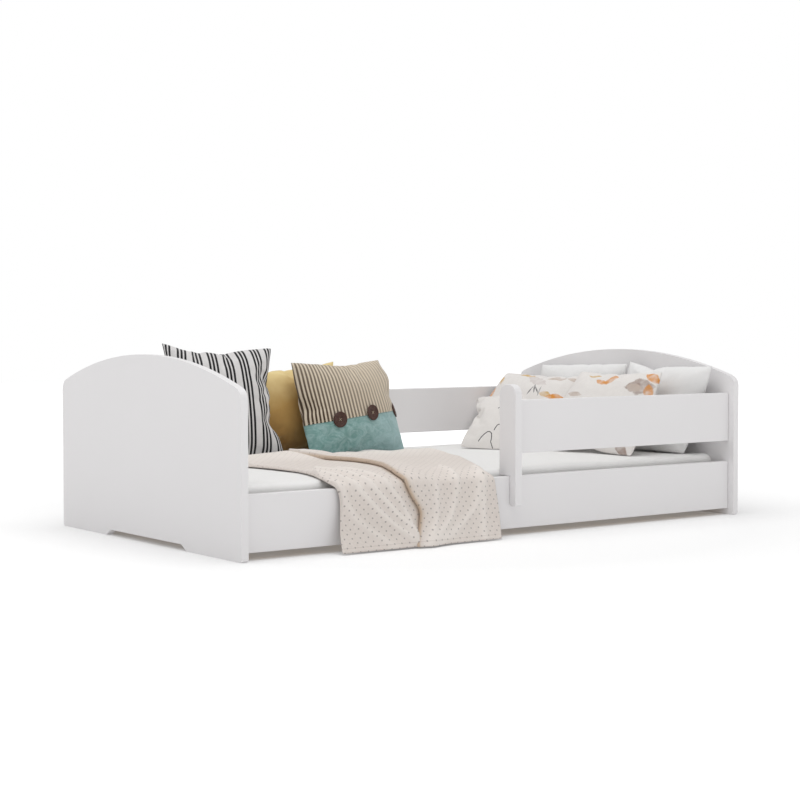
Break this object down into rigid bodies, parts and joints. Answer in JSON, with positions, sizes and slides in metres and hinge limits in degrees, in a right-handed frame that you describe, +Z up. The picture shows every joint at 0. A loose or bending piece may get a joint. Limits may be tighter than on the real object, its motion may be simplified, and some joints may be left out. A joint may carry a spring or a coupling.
{
  "type": "toddler bed",
  "caption": "low white toddler bed with arched end boards, open front with a half-length guard, slatted base, mattress, scatter cushions and a dotted throw hanging over the front rail",
  "frame": {"origin": "on the floor, under the middle of the whole bed", "axes": "+X runs along the bed from the footboard to the headboard, -Y is the open front with the guard and the throw, +Z is up"},
  "size_m": [1.64, 0.9264, 0.4843],
  "materials": {
    "white_foil_board": "satin",
    "zinc_fitting": "satin",
    "beech_dowel": "matte",
    "pine_slat": "matte",
    "grey_webbing": "matte",
    "mattress_foam": "matte",
    "white_cotton": "matte",
    "mustard_velvet": "matte",
    "striped_linen": "matte",
    "ticking_and_teal_cotton": "matte",
    "leaf_print_cotton": "matte",
    "line_drawing_cotton": "matte",
    "dotted_muslin": "matte"
  },
  "bodies": {
    "bed_frame": {"footboard": "white_foil_board", "headboard": "white_foil_board", "guard_post": "white_foil_board", "front_side_rail": "white_foil_board", "back_side_rail": "white_foil_board", "front_guard_board": "white_foil_board", "back_guard_board": "white_foil_board", "cam_lock_front_side_rail_footboard": "zinc_fitting", "cam_lock_front_side_rail_headboard": "zinc_fitting", "cam_lock_back_side_rail_footboard": "zinc_fitting", "cam_lock_back_side_rail_headboard": "zinc_fitting", "cam_lock_front_guard_board_guard_post": "zinc_fitting", "cam_lock_front_guard_board_headboard": "zinc_fitting", "cam_lock_back_guard_board_footboard": "zinc_fitting", "cam_lock_back_guard_board_headboard": "zinc_fitting", "cam_bolt_front_side_rail_footboard": "zinc_fitting", "cam_bolt_front_side_rail_headboard": "zinc_fitting", "cam_bolt_back_side_rail_footboard": "zinc_fitting", "cam_bolt_back_side_rail_headboard": "zinc_fitting", "cam_bolt_front_guard_board_guard_post": "zinc_fitting", "cam_bolt_front_guard_board_headboard": "zinc_fitting", "cam_bolt_back_guard_board_footboard": "zinc_fitting", "cam_bolt_back_guard_board_headboard": "zinc_fitting", "dowel_front_side_rail_footboard": "beech_dowel", "dowel_front_side_rail_headboard": "beech_dowel", "dowel_back_side_rail_footboard": "beech_dowel", "dowel_back_side_rail_headboard": "beech_dowel", "dowel_front_guard_board_guard_post": "beech_dowel", "dowel_front_guard_board_headboard": "beech_dowel", "dowel_back_guard_board_footboard": "beech_dowel", "dowel_back_guard_board_headboard": "beech_dowel", "post_bolt_lower": "zinc_fitting", "post_bolt_upper": "zinc_fitting", "front_slat_cleat": "pine_slat", "back_slat_cleat": "pine_slat", "slat_01": "pine_slat", "slat_02": "pine_slat", "slat_03": "pine_slat", "slat_04": "pine_slat", "slat_05": "pine_slat", "slat_06": "pine_slat", "slat_07": "pine_slat", "slat_08": "pine_slat", "slat_09": "pine_slat", "slat_10": "pine_slat", "slat_11": "pine_slat", "slat_12": "pine_slat", "front_slat_strap": "grey_webbing", "back_slat_strap": "grey_webbing"},
    "mattress": {"mattress_core": "mattress_foam", "fitted_sheet": "white_cotton"},
    "throw": {"throw_blanket": "dotted_muslin"},
    "mustard_cushion": {"mustard_cushion": "mustard_velvet"},
    "striped_cushion": {"striped_cushion": "striped_linen"},
    "ticking_cushion": {"ticking_cushion": "ticking_and_teal_cotton"},
    "white_pillow_back": {"white_pillow_back": "white_cotton"},
    "white_pillow_front": {"white_pillow_front": "white_cotton"},
    "leaf_pillow_back": {"leaf_pillow_back": "leaf_print_cotton"},
    "leaf_pillow_front": {"leaf_pillow_front": "leaf_print_cotton"},
    "sketch_cushion": {"sketch_cushion": "line_drawing_cotton"}
  },
  "joints": [
    {"name": "mattress_lift", "type": "slide", "parent": "bed_frame", "child": "mattress", "axis": [0, 0, 1], "range_m": [0, 0.42]},
    {"name": "throw_lift", "type": "slide", "parent": "mattress", "child": "throw", "axis": [0, 0, 1], "range_m": [0, 0.25]},
    {"name": "mustard_cushion_lift", "type": "slide", "parent": "mattress", "child": "mustard_cushion", "axis": [0, 0, 1], "range_m": [0, 0.3]},
    {"name": "striped_cushion_lift", "type": "slide", "parent": "mustard_cushion", "child": "striped_cushion", "axis": [0, 0, 1], "range_m": [0, 0.3]},
    {"name": "ticking_cushion_lift", "type": "slide", "parent": "mustard_cushion", "child": "ticking_cushion", "axis": [0, 0, 1], "range_m": [0, 0.3]},
    {"name": "white_pillow_back_lift", "type": "slide", "parent": "mattress", "child": "white_pillow_back", "axis": [0, 0, 1], "range_m": [0, 0.3]},
    {"name": "white_pillow_front_lift", "type": "slide", "parent": "white_pillow_back", "child": "white_pillow_front", "axis": [0, 0, 1], "range_m": [0, 0.3]},
    {"name": "leaf_pillow_back_lift", "type": "slide", "parent": "white_pillow_back", "child": "leaf_pillow_back", "axis": [0, 0, 1], "range_m": [0, 0.3]},
    {"name": "leaf_pillow_front_lift", "type": "slide", "parent": "white_pillow_front", "child": "leaf_pillow_front", "axis": [0, 0, 1], "range_m": [0, 0.3]},
    {"name": "sketch_cushion_lift", "type": "slide", "parent": "leaf_pillow_back", "child": "sketch_cushion", "axis": [0, 0, 1], "range_m": [0, 0.3]}
  ]
}
